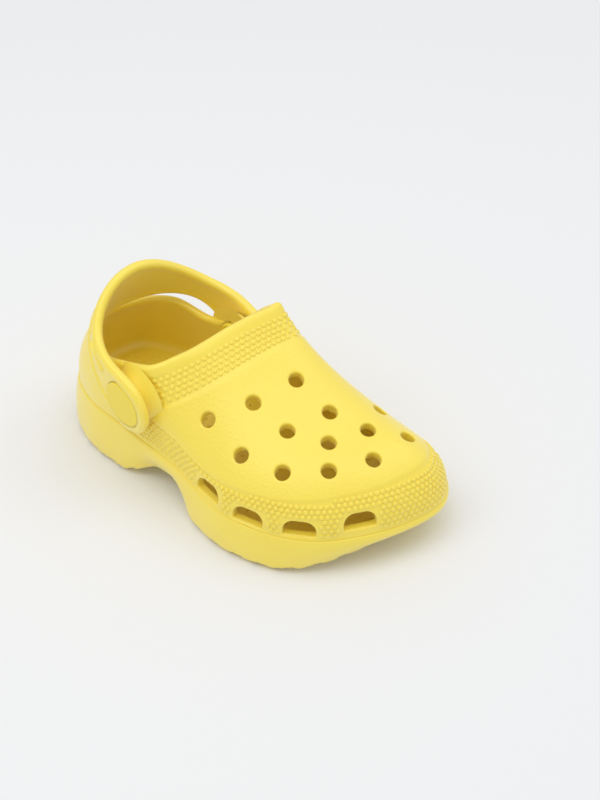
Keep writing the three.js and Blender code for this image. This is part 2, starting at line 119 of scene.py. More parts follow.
# sole edge x, y; opening lip x, y, z
STATIONS = np.array([
    (0, along(0), 0, along(0.037), CUP),
    (-0.63 * H, along(0.037), -0.5 * H, along(0.07), CUP),
    (-0.97 * H, along(0.135), -0.785 * H, along(0.145), CUP),
    (-1.06 * H, along(0.27), -0.865 * H, along(0.27), rise(0.28)),
    (-0.97 * W, along(0.44), -0.73 * W, along(0.345), rise(0.48)),
    (S - 0.99 * B, along(0.64), -0.4 * W, along(0.385), rise(0.62)),
    (S - 0.73 * B, along(0.83), -0.1 * W, along(0.413), rise(0.77)),
    (S - 0.02 * B, along(0.965), 0.22 * W, along(0.437), rise(0.9)),
    (S + 0.55 * B, along(1), 0.52 * W, along(0.46), rise(0.98)),
    (S + 0.91 * B, along(0.94), 0.77 * W, along(0.478), TOP),
    (S + B, along(0.78), 0.91 * W, along(0.478), rise(0.98)),
    (S + 0.93 * B, along(0.6), 0.93 * W, along(0.43), rise(0.68)),
    (1.03 * W, along(0.43), 0.9 * W, along(0.36), rise(0.17)),
    (1.08 * H, along(0.27), 0.98 * H, along(0.265), rise(-0.12)),
    (0.98 * H, along(0.135), 0.88 * H, along(0.145), CUP),
    (0.66 * H, along(0.037), 0.53 * H, along(0.07), CUP),
])
SOLE_POINTS = np.column_stack([STATIONS[:, :2], np.zeros(len(STATIONS))])
LIP_POINTS = STATIONS[:, 2:]


def closed_curve(points, u):
    """A smooth closed curve through the points (centripetal Catmull-Rom), at shares u of its length."""
    count = len(points)
    place = (np.asarray(u) % 1.0) * count
    k = np.floor(place).astype(int)
    w = (place - k)[:, None]
    p0, p1, p2, p3 = (points[(k + d) % count] for d in (-1, 0, 1, 2))
    d0, d1, d2 = (np.sqrt(np.linalg.norm(b - a, axis=1))[:, None] for a, b in ((p0, p1), (p1, p2), (p2, p3)))
    t1 = ((p1 - p0) / d0 - (p2 - p0) / (d0 + d1) + (p2 - p1) / d1) * d1
    t2 = ((p2 - p1) / d1 - (p3 - p1) / (d1 + d2) + (p3 - p2) / d2) * d1
    return p1 + t1 * w + (3 * (p2 - p1) - 2 * t1 - t2) * w**2 + (2 * (p1 - p2) + t1 + t2) * w**3


print("stations", len(STATIONS), "toe at y", along(1))

# %% [markdown]
# Between the two curves the foam rises from the sole and turns over. Round the heel it is an
# upright cup. In front it is a rounded toe box that sweeps up to the collar. One function
# gives any point of the outer face, so the shape stays smooth however finely it is meshed.

# %% The outer face of the upper
WALL = 4.0
RIM_INSET = 0.8
TOE_BOX_RISE = 23.0
TOE_BOX_ROUND = 26.0
TOE_BOX_POWER = 2.1
INSTEP_CURVE = 2.1
SLICES = 448
UPPER_ROWS = 96


def share(y):
    return (HEEL_REACH - y) / SOLE_LENGTH


def sole_top(y):
    return mix(26.0, 18.5, smooth(0.2, 0.62, share(y)))


def footbed_top(y):
    return mix(20.0, 12.5, smooth(0.2, 0.7, share(y)))


def arch_shape(y):
    return smooth(0.26, 0.37, share(y)) * (1 - smooth(0.41, 0.53, share(y)))


def spring_shape(y):
    return smooth(0.74, 1.03, share(y))


def underside(y):
    return 8.0 * arch_shape(y) + 9.0 * spring_shape(y)


edge_line = closed_curve(SOLE_POINTS, np.arange(720) / 720)[:, :2]


def edge_distance(points):
    """Distance in plan from each point to the edge of the sole."""
    a, b = edge_line, np.roll(edge_line, -1, axis=0)
    span = b - a
    length2 = (span**2).sum(1)
    out = np.empty(len(points))
    for first in range(0, len(points), 4000):
        p = points[first : first + 4000, None, :2]
        t = np.clip(((p - a) * span).sum(2) / length2, 0, 1)
        out[first : first + 4000] = np.linalg.norm(p - (a + t[..., None] * span), axis=2).min(1)
    return out


def toe_box(points):
    inset = np.maximum(0, edge_distance(points) - RIM_INSET)
    far = 1 - np.minimum(1, inset / TOE_BOX_ROUND)
    return TOE_BOX_RISE * (1 - far**TOE_BOX_POWER) ** (1 / TOE_BOX_POWER)


u = np.arange(SLICES) / SLICES
edge = closed_curve(SOLE_POINTS, u)
lip = closed_curve(LIP_POINTS, u)
ahead = closed_curve(SOLE_POINTS, u + 1e-4) - closed_curve(SOLE_POINTS, u - 1e-4)
outward = np.column_stack([ahead[:, 1], -ahead[:, 0], np.zeros(SLICES)])
outward /= np.linalg.norm(outward, axis=1)[:, None]
station = u * len(STATIONS)
front = smooth(2.6, 5.2, station) * (1 - smooth(10.6, 13.2, station))


def upper_face(t):
    """Points of the outer face: one row for each slice, one column for each share t of the way up."""
    start = edge - RIM_INSET * outward
    start[:, 2] = sole_top(edge[:, 1])
    turn = np.radians(mix(38.0, 88.0, front))[:, None]
    angle = t[None, :] * turn
    inward = (1 - np.cos(angle)) / (1 - np.cos(turn))
    point = start[:, None, :] + (lip - start)[:, None, :] * inward[..., None]
    climb = (lip - start)[:, 2][:, None]
    wall_height = climb * np.sin(angle) / np.sin(turn)
    dome = toe_box(point.reshape(-1, 3)).reshape(point.shape[:2])
    vamp_height = dome + (climb - toe_box(lip)[:, None]) * inward**INSTEP_CURVE
    point[..., 2] = start[:, 2][:, None] + mix(wall_height, vamp_height, front[:, None])
    return point


def face_normals(grid):
    """Outward unit normals of a grid that closes on itself along its first axis."""
    round_it = np.roll(grid, -1, axis=0) - np.roll(grid, 1, axis=0)
    up = np.gradient(grid, axis=1)
    normal = np.cross(round_it, up)
    return normal / np.maximum(1e-9, np.linalg.norm(normal, axis=2))[..., None]


steps = np.linspace(0, 1, UPPER_ROWS + 1)
plain = upper_face(steps)
normals = face_normals(plain)
climbed = np.cumsum(np.linalg.norm(np.diff(plain, axis=1, prepend=plain[:, :1]), axis=2), axis=1)
from_lip = climbed[:, -1:] - climbed
print("outer face", plain.shape, "longest slice", round(float(climbed.max()), 1), "mm")

# %% [markdown]
# Two bands on a real clog are set a little lower than the smooth foam round them, and carry
# small studs: one under the collar's lip and one above the sole. A soft step in the surface
# makes each band. The lip itself is left full, which reads as a rolled hem.

# %% The two sunken bands
BAND_DEPTH = 0.55
RIM_BAND = mix(15.5, 21.5, smooth(4.0, 8.0, station)) * (1 - 0.24 * smooth(9.5, 12.0, station))
LIP_HEM = 3.4
COLLAR_BAND = 16.6
band_reach = smooth(3.1, 3.7, station) * (1 - smooth(12.3, 12.9, station))
collar_reach = smooth(3.3, 3.9, station) * (1 - smooth(11.6, 12.2, station))

rim_mask = (1 - smooth(-0.5, 0.5, climbed - RIM_BAND[:, None])) * smooth(0, 1.2, climbed)
collar_mask = smooth(LIP_HEM - 0.5, LIP_HEM + 0.5, from_lip)
collar_mask = collar_mask * (1 - smooth(COLLAR_BAND - 0.6, COLLAR_BAND + 0.6, from_lip))
sunken = np.maximum(rim_mask * band_reach[:, None], collar_mask * collar_reach[:, None])
outer = plain - BAND_DEPTH * sunken[..., None] * normals
print("sunken share of the surface", round(float((sunken > 0.5).mean()), 3))

# %% [markdown]
# The whole moulding is one closed skin: under the tread, up the sole's wall, over the upper,
# round the lip, down inside and across the footbed. It is laid down ring by ring.

# %% Ring by ring
SOLE_FLARE = 2.6
SOLE_CORNER = 2.4
RIM_GROOVE = 1.5
TREAD_PITCH = 10.5
FOOTBED_FILLET = 5.0
FOOTBED_RINGS = (0.93, 0.8, 0.6, 0.4, 0.2)  # shares of the way out from the footbed's middle


def at_inset(inset, z):
    ring = edge - outward * np.broadcast_to(inset, SLICES)[:, None]
    ring[:, 2] = z
    return ring


def sole_rings():
    """The sole's wall, with lugs that scallop its lower corner, up to the groove under the upper."""
    y = edge[:, 1]
    height, tread = sole_top(y), underside(y)
    undercut = 5.5 * arch_shape(y) + 8.0 * spring_shape(y)
    run = np.cumsum(np.linalg.norm(edge - np.roll(edge, 1, axis=0), axis=1))
    lugs = round(run[-1] / 11.5)
    gap = np.abs(np.cos(np.pi * lugs * run / run[-1])) ** 10 * (1 - arch_shape(y))
    rings = [at_inset(undercut + SOLE_CORNER - SOLE_FLARE + 2.2 * gap, -1.0)]
    for angle in np.radians([0, 22, 45, 68, 90]):
        inset = undercut - SOLE_FLARE + SOLE_CORNER * (1 - math.sin(angle))
        z = tread + SOLE_CORNER * (1 - math.cos(angle))
        rings.append(at_inset(inset + 2.2 * gap * math.cos(angle) ** 0.5, z + 1.4 * gap * math.cos(angle)))
    low, high = tread + SOLE_CORNER, height - 1.3
    for s in np.linspace(0.1, 0.96, 10):
        inset = undercut * (1 - s) ** 1.5 - SOLE_FLARE * (1 - s * s)
        rings.append(at_inset(inset, mix(low, high, s)))
    for angle in np.radians([0, 25, 50, 75]):
        rings.append(at_inset(1.2 * (1 - math.cos(angle)), high + 1.1 * math.sin(angle)))
    for inset, drop in ((RIM_GROOVE - 0.1, 0.35), (RIM_GROOVE, 0.6), (RIM_GROOVE - 0.15, 0.15)):
        rings.append(at_inset(inset, height - drop + 0.1))
    return rings


def upper_at(t):
    """Point and normal of the outer face at one share t for each slice."""
    place = np.clip(t, 0, 1) * UPPER_ROWS
    low = np.minimum(place.astype(int), UPPER_ROWS - 1)
    w = (place - low)[:, None]
    row = np.arange(SLICES)
    point = mix(plain[row, low], plain[row, low + 1], w)
    normal = mix(normals[row, low], normals[row, low + 1], w)
    return point, normal / np.linalg.norm(normal, axis=1)[:, None]


def body_rings():
    rings = sole_rings()
    rings += [outer[:, j] for j in range(UPPER_ROWS + 1)]
    over = plain[:, -1] - plain[:, -3]
    over /= np.linalg.norm(over, axis=1)[:, None]
    top_normal = normals[:, -1]
    middle = plain[:, -1] - top_normal * WALL / 2
    for angle in np.radians(np.arange(18, 180, 18)):
        rings.append(middle + WALL / 2 * (math.cos(angle) * top_normal + math.sin(angle) * over))
    floor = footbed_top(edge[:, 1])
    reached = plain[..., 2] >= (floor + FOOTBED_FILLET + 1)[:, None]
    lowest = steps[reached.argmax(axis=1)]
    for s in np.linspace(0, 1, 25):
        point, normal = upper_at(mix(1.0, lowest, s))
        rings.append(point - WALL * normal)
    foot = rings[-1]
    for angle in np.radians([15, 30, 45, 60, 75, 90]):
        ring = foot - outward * FOOTBED_FILLET * (1 - math.cos(angle))
        ring[:, 2] = mix(foot[:, 2], floor, math.sin(angle))
        rings.append(ring)
    middle = np.array([0, along(0.5), 0])
    rim = rings[-1]
    for size in FOOTBED_RINGS:
        ring = middle + (rim - middle) * size
        ring[:, 2] = footbed_top(ring[:, 1])
        rings.append(ring)
    return rings


def skin(name, rings, first, last):
    """A closed mesh over rings of equally many points, with a fan over each end. Millimetres in."""
    count = len(rings[0])
    points = np.vstack([*rings, [first, last]]) * MM
    i = np.arange(count)
    n = (i + 1) % count
    faces = []
    for j in range(len(rings) - 1):
        a, b = j * count + i, j * count + n
        faces += np.column_stack([a, b, b + count, a + count]).tolist()
    top = (len(rings) - 1) * count
    foot, head = len(points) - 2, len(points) - 1
    faces += np.column_stack([np.full(count, foot), n, i]).tolist()
    faces += np.column_stack([np.full(count, head), top + i, top + n]).tolist()
    mesh = bpy.data.meshes.new(name)
    mesh.from_pydata(points.tolist(), [], faces)
    mesh.validate()
    piece = bpy.data.objects.new(name, mesh)
    bpy.context.scene.collection.objects.link(piece)
    return piece


middle_y = along(0.5)
body = skin("clog_foam", body_rings(), (0, middle_y, -1), (0, middle_y, float(footbed_top(middle_y))))
print("body skin", len(body.data.polygons), "faces")

# %% [markdown]
# Holes and slots are cut with tools, as a mould's pins would leave them. A moulded hole has a
# soft mouth, so each tool flares where it meets the surface. The tool is fitted to the
# surface by casting rays at it, and the flare follows the curve of the foam all the way round.

# %% Tools for the holes and slots
HOLE_RADIUS = 3.3
HOLES = [
    (-22, -60.5), (-7, -73), (13, -80),
    (-25.5, -81.5), (-6.5, -91), (12.5, -98.5),
    (-21.5, -100.5), (1, -107), (17.5, -115), (33, -110),
    (-9, -115), (7.5, -125.5), (28.5, -128),
]
# share of the way round the sole, and height of the slot's floor above the sole's groove
SLOTS = [(0.288, 1.8), (0.329, 0.9), (0.368, 1.3), (0.41, 3.4), (0.585, 3.2), (0.63, 2.4), (0.675, 2.0)]
SLOT_WIDTH, SLOT_HEIGHT = 14.0, 7.0
MOUTH = 0.9  # radius of the soft edge

shell = bmesh.new()
shell.from_mesh(body.data)
surface = BVHTree.FromBMesh(shell)
shell.free()


def flared_tool(profile, outwards, centre, axis, side, depth):
    """A cutter along axis with a soft mouth. profile and outwards are 2D points and normals."""
    axis = Vector(axis).normalized()
    side = Vector(side)
    side = (side - axis * side.dot(axis)).normalized()
    other = axis.cross(side)
    rings = []
    turns = np.radians([0, 15, 30, 45, 60, 75, 90])
    levels = [(0.0, None)] + [(1 - math.sin(a), 1 - math.cos(a)) for a in turns]
    for out, sink in levels:
        ring = []
        for (px, py), (nx, ny) in zip(profile, outwards):
            reach = MOUTH * (out if sink is not None else 1.0)
            flat = Vector(centre) + side * (px + nx * reach) + other * (py + ny * reach)
            hit = surface.ray_cast((flat + axis * 12) * MM, -axis, 30 * MM)[0]
            level = hit / MM if hit is not None else flat
            if sink is None:
                ring.append(level + axis * 3.0)
            else:
                ring.append(level - axis * (MOUTH * sink - 0.01))
        rings.append(ring)
    bottom = [Vector(centre) + side * px + other * py - axis * depth for px, py in profile]
    rings.append(bottom)
    rings = [np.array(r) for r in rings]
    return skin("tool", rings[::-1], rings[-1].mean(0), rings[0].mean(0))


def round_profile(radius, sides=32):
    angle = np.arange(sides) * 2 * math.pi / sides
    unit = np.column_stack([np.cos(angle), np.sin(angle)])
    return unit * radius, unit


def slot_profile():
    """A flat floor with small corners and a rounded top."""
    half, low, high = SLOT_WIDTH / 2, 0.7, 0.68 * SLOT_HEIGHT
    corners = [
        (half - low, low, low, -90), (half - high, SLOT_HEIGHT - high, high, 0),
        (high - half, SLOT_HEIGHT - high, high, 90), (low - half, low, low, 180),
    ]
    points, outs = [], []
    for x, y, radius, start in corners:
        for angle in np.radians(start + np.linspace(0, 90, 9)):
            way = (math.cos(angle), math.sin(angle))
            outs.append(way)
            points.append((x + radius * way[0], y + radius * way[1]))
    return np.array(points), np.array(outs)


def hole_tools():
    made = []
    flat = plain.reshape(-1, 3)
    ways = normals.reshape(-1, 3)
    for x, y in HOLES:
        near = np.hypot(flat[:, 0] - x, flat[:, 1] - y).argmin()
        axis = ways[near] * 0.7 + np.array([0, 0, 0.3])
        profile, outs = round_profile(HOLE_RADIUS)
        made.append(flared_tool(profile, outs, (x, y, flat[near, 2]), axis, (1, 0, 0), 9))
    profile, outs = slot_profile()
    for place, lift in SLOTS:
        k = int(round(place * SLICES)) % SLICES
        z = sole_top(edge[k, 1]) + lift
        sideways = np.cross((0, 0, 1), outward[k])
        made.append(flared_tool(profile, outs, (edge[k, 0], edge[k, 1], z), outward[k], sideways, 12))
    return made


vent_tools = hole_tools()
print("hole and slot tools", len(vent_tools))

# %% [markdown]
# The strap turns on two flat seats. Each is a low round boss on the outside of the upper,
# with a hole for the rivet and room inside for its other half. The seats lie on the rivets'
# own axis, which is slightly slanted, because a foot's inner ankle sits further forward.

# %% Tools for the seats, and the tread
RIVET_FRAME = (
    Matrix.Translation(Vector((0, -29.6, 45.3)) * MM) @ Matrix.Rotation(math.radians(-8), 4, "Z")
)
SEAT = 32.5
BOSS_INSIDE = SEAT - 5.5
CLEARANCE = 0.3


def lathe(name, profile, side, sides=96):
    """A profile of (radius, distance out from the middle) turned about the rivets' axis."""
    angle = np.arange(sides) * 2 * math.pi / sides * side
    inner = [p for p in profile if p[0] > 0]
    rings = []
    for radius, out in inner:
        ring = np.column_stack([np.full(sides, side * out), radius * np.cos(angle), radius * np.sin(angle)])
        rings.append(ring)
    piece = skin(name, rings[::-1], (side * profile[-1][1], 0, 0), (side * profile[0][1], 0, 0))
    piece.data.transform(RIVET_FRAME)
    return piece


def disc(radius, low, high, side):
    return lathe("tool", [(0, low), (radius, low), (radius, high), (0, high)], side)


def tread_tool():
    """Everything below the tread: the arch, the toe spring and the grooves across the sole."""
    line = []
    ys = np.arange(-170, 60, 0.5)
    for y in ys:
        phase = (y / TREAD_PITCH + 0.5) % 1.0
        off = abs((phase + 0.5) % 1.0 - 0.5) * TREAD_PITCH
        groove = 1.8 * (1 - smooth(1.1, 1.9, off)) if arch_shape(y) < 0.01 else 0.0
        line.append((y, float(underside(y) + groove)))
    profile = [(ys[0], -60.0)] + line + [(ys[-1], -60.0)]
    mesh = bpy.data.meshes.new("tool")
    count = len(profile)
    points = [(x, y, z) for x in (-100, 100) for y, z in profile]
    faces = [(i, (i + 1) % count, (i + 1) % count + count, i + count) for i in range(count)]
    faces += [tuple(range(count))[::-1], tuple(range(count, 2 * count))]
    mesh.from_pydata([tuple(c * MM for c in p) for p in points], [], faces)
    bm = bmesh.new()
    bm.from_mesh(mesh)
    bmesh.ops.recalc_face_normals(bm, faces=bm.faces)
    bm.to_mesh(mesh)
    bm.free()
    piece = bpy.data.objects.new("tool", mesh)
    bpy.context.scene.collection.objects.link(piece)
    return piece


def combine(target, tools, operation):
    """Joins or cuts target with each tool, then throws the tools away."""
    for tool in tools:
        step = target.modifiers.new("step", "BOOLEAN")
        step.operation = operation
        step.solver = "MANIFOLD"
        step.object = tool
        bpy.context.view_layer.update()
        depsgraph = bpy.context.evaluated_depsgraph_get()
        result = bpy.data.meshes.new_from_object(target.evaluated_get(depsgraph))
        target.modifiers.remove(step)
        old = target.data
        target.data = result
        bpy.data.meshes.remove(old)
        bpy.data.objects.remove(tool)
    target.data.name = target.name


BOTH = (-1, 1)
# radius and distance out of each corner of the seat, which flares towards the wall
BOSS = [
    (0, BOSS_INSIDE), (15.5, BOSS_INSIDE), (13.0, 28.6), (11.3, 30.2), (10.3, 31.5),
    (9.8, SEAT), (0, SEAT),
]
PAD_ROOM = 18.6  # radius cleared outside the seat, so that the pad can turn
SOCKET_ROOM = 8.9  # radius cleared inside the seat for the rivet's other half
SHANK_HOLE = 5.3
combine(body, [lathe("tool", BOSS, s) for s in BOTH], "UNION")
combine(body, [disc(PAD_ROOM, SEAT, SEAT + 60, s) for s in BOTH], "DIFFERENCE")
combine(body, [disc(SOCKET_ROOM, BOSS_INSIDE - 8, BOSS_INSIDE, s) for s in BOTH], "DIFFERENCE")
combine(body, [disc(SHANK_HOLE, BOSS_INSIDE - 4, SEAT + 4, s) for s in BOTH], "DIFFERENCE")
combine(body, [tread_tool()], "DIFFERENCE")
combine(body, vent_tools, "DIFFERENCE")
print("body after cutting", len(body.data.polygons), "faces")

# %% [markdown]
# A moulded part has faces that flow and a few crisp edges. Faces are shaded smooth, and only
# edges that turn sharply stay sharp.

# %% Shading and a map of the surface finish
def finish_shading(piece, angle=38):
    piece.data.shade_smooth()
    piece.data.set_sharp_from_angle(angle=math.radians(angle))


finish_shading(body)

# The mould is grained on the vamp and polished on the lip, the bands and inside.
tree = KDTree(SLICES * (UPPER_ROWS + 1))
for index, point in enumerate((outer * MM).reshape(-1, 3)):
    tree.insert(point, index)
tree.balance()
vamp_share = smooth(RIM_BAND[:, None], RIM_BAND[:, None] + 1.5, climbed)
vamp_share = vamp_share * smooth(COLLAR_BAND - 0.5, COLLAR_BAND + 1.0, from_lip)
vamp_reach = smooth(2.9, 4.2, station)[:, None] * (1 - smooth(12.4, 13.2, station))[:, None]
grain_map = (vamp_share * vamp_reach).ravel()
heel_map = (np.clip(1 - front, 0, 1)[:, None] * (from_lip > 4)).ravel() * 0.35
finish = np.maximum(grain_map, heel_map)
grain = body.data.attributes.new("grain", "FLOAT", "POINT")
values = []
for vertex in body.data.vertices:
    _, index, gap = tree.find(vertex.co)
    on_face = max(0.0, 1 - gap / (1.2 * MM))
    sole = 0.3 if gap > 1.2 * MM and vertex.co.z < 0.026 and vertex.co.y > -0.03 else 0.0
    values.append(max(sole, float(finish[index]) * on_face))
grain.data.foreach_set("value", values)
print("grained points", sum(v > 0.5 for v in values), "of", len(values))

# %% [markdown]
# The studs on the two bands repeat hundreds of times, so Geometry Nodes make them. The tree
# takes a cloud of points with an "up" direction, puts one small dome on each, and turns it
# to stand square on the foam. Its inputs are the stud's width and height in metres.

# %% A node tree that sets domes on points
def link_node(tree, kind, settings=None, **inputs):
    """Adds a node, sets its settings, and fills or links its inputs."""
    node = tree.nodes.new(kind)
    for name, value in (settings or {}).items():
        setattr(node, name, value)
    for name, value in inputs.items():
        key = int(name[1:]) if name[0] == "i" and name[1:].isdigit() else name.replace("_", " ")
        if isinstance(value, bpy.types.NodeSocket):
            tree.links.new(value, node.inputs[key])
        else:
            node.inputs[key].default_value = value
    return node


def dome_tree(material):
    tree = bpy.data.node_groups.new("domes on points", "GeometryNodeTree")
    for name, kind, way in (
        ("Points", "NodeSocketGeometry", "INPUT"), ("Width", "NodeSocketFloat", "INPUT"),
        ("Height", "NodeSocketFloat", "INPUT"), ("Result", "NodeSocketGeometry", "OUTPUT"),
    ):
        tree.interface.new_socket(name, in_out=way, socket_type=kind)
    given = link_node(tree, "NodeGroupInput")
    up = link_node(tree, "GeometryNodeInputNamedAttribute", {"data_type": "FLOAT_VECTOR"}, Name="up")
    turn = link_node(tree, "FunctionNodeAlignRotationToVector", {"axis": "Z"}, Vector=up.outputs["Attribute"])
    ball = link_node(tree, "GeometryNodeMeshUVSphere", Segments=8, Rings=6, Radius=1.0)
    half = link_node(tree, "ShaderNodeMath", {"operation": "MULTIPLY"}, i0=given.outputs["Width"], i1=0.5)
    size = link_node(
        tree, "ShaderNodeCombineXYZ", X=half.outputs[0], Y=half.outputs[0], Z=given.outputs["Height"]
    )
    placed = link_node(
        tree, "GeometryNodeInstanceOnPoints", Points=given.outputs["Points"],
        Instance=ball.outputs["Mesh"], Rotation=turn.outputs["Rotation"], Scale=size.outputs["Vector"],
    )
    real = link_node(tree, "GeometryNodeRealizeInstances", Geometry=placed.outputs["Instances"])
    soft = link_node(tree, "GeometryNodeSetShadeSmooth", Geometry=real.outputs["Geometry"])
    dressed = link_node(tree, "GeometryNodeSetMaterial", Geometry=soft.outputs["Geometry"], Material=material)
    out = link_node(tree, "NodeGroupOutput")
    tree.links.new(dressed.outputs["Geometry"], out.inputs["Result"])
    return tree


def grow_domes(name, tree, points, ups, width, height):
    """Runs the tree over the points and returns the result as a plain mesh."""
    cloud = bpy.data.meshes.new(name)
    cloud.from_pydata((np.array(points) * MM).tolist(), [], [])
    cloud.attributes.new("up", "FLOAT_VECTOR", "POINT").data.foreach_set("vector", np.array(ups).ravel())
    piece = bpy.data.objects.new(name, cloud)
    bpy.context.scene.collection.objects.link(piece)
    grower = piece.modifiers.new("domes", "NODES")
    grower.node_group = tree
    keys = {s.name: s.identifier for s in tree.interface.items_tree if s.in_out == "INPUT"}
    grower[keys["Width"]] = width * MM
    grower[keys["Height"]] = height * MM
    bpy.context.view_layer.update()
    depsgraph = bpy.context.evaluated_depsgraph_get()
    grown = bpy.data.meshes.new_from_object(piece.evaluated_get(depsgraph))
    piece.modifiers.remove(grower)
    piece.data = grown
    bpy.data.meshes.remove(cloud)
    print(name, len(points), "domes,", len(grown.polygons), "faces")
    return piece


# %% [markdown]
# Foam clogs are injection moulded from EVA, a light closed-cell foam. Its skin is satin, not
# glossy, and light goes a little way into it, which warms its shaded hollows. The dye is a
# clear lemon yellow. The mould's leather-like grain is about 1.2 mm across.

# %% Materials
def foam_material(name, grain_height, speckle_height):
    """Moulded EVA foam: satin skin, light that soaks in a little, grain where the mould has it."""
    material = bpy.data.materials.new(name)
    material.use_nodes = True
    tree = material.node_tree
    shader = tree.nodes["Principled BSDF"]
    shader.inputs["Roughness"].default_value = 0.5
    shader.inputs["IOR"].default_value = 1.49
    shader.inputs["Specular IOR Level"].default_value = 0.8
    shader.inputs["Subsurface Weight"].default_value = 0.15
    shader.inputs["Subsurface Radius"].default_value = (1.0, 0.82, 0.12)
    shader.inputs["Subsurface Scale"].default_value = 1.5 * MM
    shader.inputs["Coat Weight"].default_value = 0.9
    shader.inputs["Coat Roughness"].default_value = 0.45
    shader.inputs["Sheen Weight"].default_value = 0.25
    shader.inputs["Sheen Roughness"].default_value = 0.6
    place = link_node(tree, "ShaderNodeTexCoord").outputs["Object"]
    mottle = link_node(tree, "ShaderNodeTexNoise", Vector=place, Scale=45.0, Detail=3.0)
    colour = link_node(tree, "ShaderNodeMix", {"data_type": "RGBA"})
    tree.links.new(mottle.outputs["Fac"], colour.inputs["Factor"])
    colour.inputs[6].default_value = hex_colour("#FADF30")
    colour.inputs[7].default_value = hex_colour("#FEE53A")
    tree.links.new(colour.outputs[2], shader.inputs["Base Color"])
    amount = link_node(tree, "ShaderNodeAttribute", {"attribute_name": "grain"})
    cells = link_node(
        tree, "ShaderNodeTexVoronoi", {"feature": "SMOOTH_F1"},
        Vector=place, Scale=1 / (1.2 * MM), Smoothness=0.4,
    )
    pits = link_node(tree, "ShaderNodeTexNoise", Vector=place, Scale=1 / (0.9 * MM), Detail=2.0)
    grained = link_node(
        tree, "ShaderNodeBump", Strength=grain_height, Distance=0.25 * MM, Height=cells.outputs["Distance"]
    )
    tree.links.new(
        link_node(
            tree, "ShaderNodeMath", {"operation": "MULTIPLY"}, i0=amount.outputs["Fac"], i1=grain_height
        ).outputs[0],
        grained.inputs["Strength"],
    )
    speckled = link_node(
        tree, "ShaderNodeBump", Strength=speckle_height, Distance=0.08 * MM,
        Height=pits.outputs["Fac"], Normal=grained.outputs["Normal"],
    )
    tree.links.new(speckled.outputs["Normal"], shader.inputs["Normal"])
    return material


def rivet_material():
    """Injection-moulded nylon, dyed to match: harder and a shade duller, with a fine spark finish."""
    material = bpy.data.materials.new("moulded nylon")
    material.use_nodes = True
    tree = material.node_tree
    shader = tree.nodes["Principled BSDF"]
    shader.inputs["Roughness"].default_value = 0.42
    shader.inputs["IOR"].default_value = 1.53
    shader.inputs["Subsurface Weight"].default_value = 0.15
    shader.inputs["Subsurface Radius"].default_value = (1.0, 0.6, 0.15)
    shader.inputs["Subsurface Scale"].default_value = 1.5 * MM
    place = link_node(tree, "ShaderNodeTexCoord").outputs["Object"]
    tint = link_node(tree, "ShaderNodeTexNoise", Vector=place, Scale=300.0, Detail=2.0)
    colour = link_node(tree, "ShaderNodeMix", {"data_type": "RGBA"})
    tree.links.new(tint.outputs["Fac"], colour.inputs["Factor"])
    colour.inputs[6].default_value = hex_colour("#F6DD3C")
    colour.inputs[7].default_value = hex_colour("#FAE248")
    tree.links.new(colour.outputs[2], shader.inputs["Base Color"])
    spark = link_node(tree, "ShaderNodeTexNoise", Vector=place, Scale=1 / (0.5 * MM), Detail=3.0)
    bump = link_node(tree, "ShaderNodeBump", Strength=0.35, Distance=0.06 * MM, Height=spark.outputs["Fac"])
    tree.links.new(bump.outputs["Normal"], shader.inputs["Normal"])
    return material


body_foam = foam_material("EVA foam, grained mould", 0.62, 0.2)
strap_foam = foam_material("EVA foam, smooth mould", 0.0, 0.2)
nylon = rivet_material()
body.data.materials.clear()
body.data.materials.append(body_foam)
print("materials", body_foam.name, "|", strap_foam.name, "|", nylon.name)

# %% [markdown]
# Studs stand in staggered rows 2.3 mm apart, 2.75 mm from one to the next. Each row follows
# the edge it belongs to, and leaves out the places that a slot, a hole or a seat takes.

# %% Rows of studs
STUD_PITCH = 2.75
ROW_PITCH = 2.3
STUD_WIDTH, STUD_HEIGHT = 2.35, 0.62
slot_places = [(edge[int(round(p * SLICES)) % SLICES], lift) for p, lift in SLOTS]


def row_points(guide, distance_map, distance, limit, first, last, shift):
    """Points along one row, their normals, and the room left up to the band's edge.

    Every row takes its spacing from its own shadow on the guide curve, so the columns stay
    in step and stand square on it, however the slices lean.
    """
    row = [k for k in range(SLICES) if first <= station[k] <= last]
    points, ups = [], []
    for k in row:
        order = distance_map[k]
        flip = order[0] > order[-1]
        xs = order[::-1] if flip else order
        grid = outer[k][::-1] if flip else outer[k]
        ways = normals[k][::-1] if flip else normals[k]
        points.append([np.interp(distance, xs, grid[:, c]) for c in range(3)])
        ups.append([np.interp(distance, xs, ways[:, c]) for c in range(3)])
    points, ups = np.array(points), np.array(ups)
    base = guide[row]
    run = np.concatenate([[0], np.cumsum(np.linalg.norm(np.diff(base, axis=0), axis=1))])
    way = np.gradient(base, axis=0)
    way /= np.linalg.norm(way, axis=1)[:, None]
    run = np.maximum.accumulate(run + ((points - base) * way).sum(axis=1))
    marks = (np.arange(math.ceil(run[0] / STUD_PITCH), run[-1] / STUD_PITCH) + shift) * STUD_PITCH
    marks = marks[marks < run[-1]]
    spaced = [np.column_stack([np.interp(marks, run, a[:, c]) for c in range(3)]) for a in (points, ups)]
    room = np.interp(marks, run, limit[row] - distance)
    return spaced[0], spaced[1], room


def clear_of_openings(point):
    local = (RIVET_FRAME.inverted() @ (Vector(point) * MM)) / MM
    if math.hypot(local.y, local.z) < 11.5 and abs(local.x) > 15:
        return False
    for place, lift in slot_places:
        away = math.hypot(point[0] - place[0], point[1] - place[1])
        low = sole_top(place[1]) + lift
        if away < SLOT_WIDTH / 2 + 2.0 and low - 1.6 < point[2] < low + SLOT_HEIGHT + 1.9:
            return False
    return all(math.hypot(point[0] - x, point[1] - y) > HOLE_RADIUS + 1.8 for x, y in HOLES)


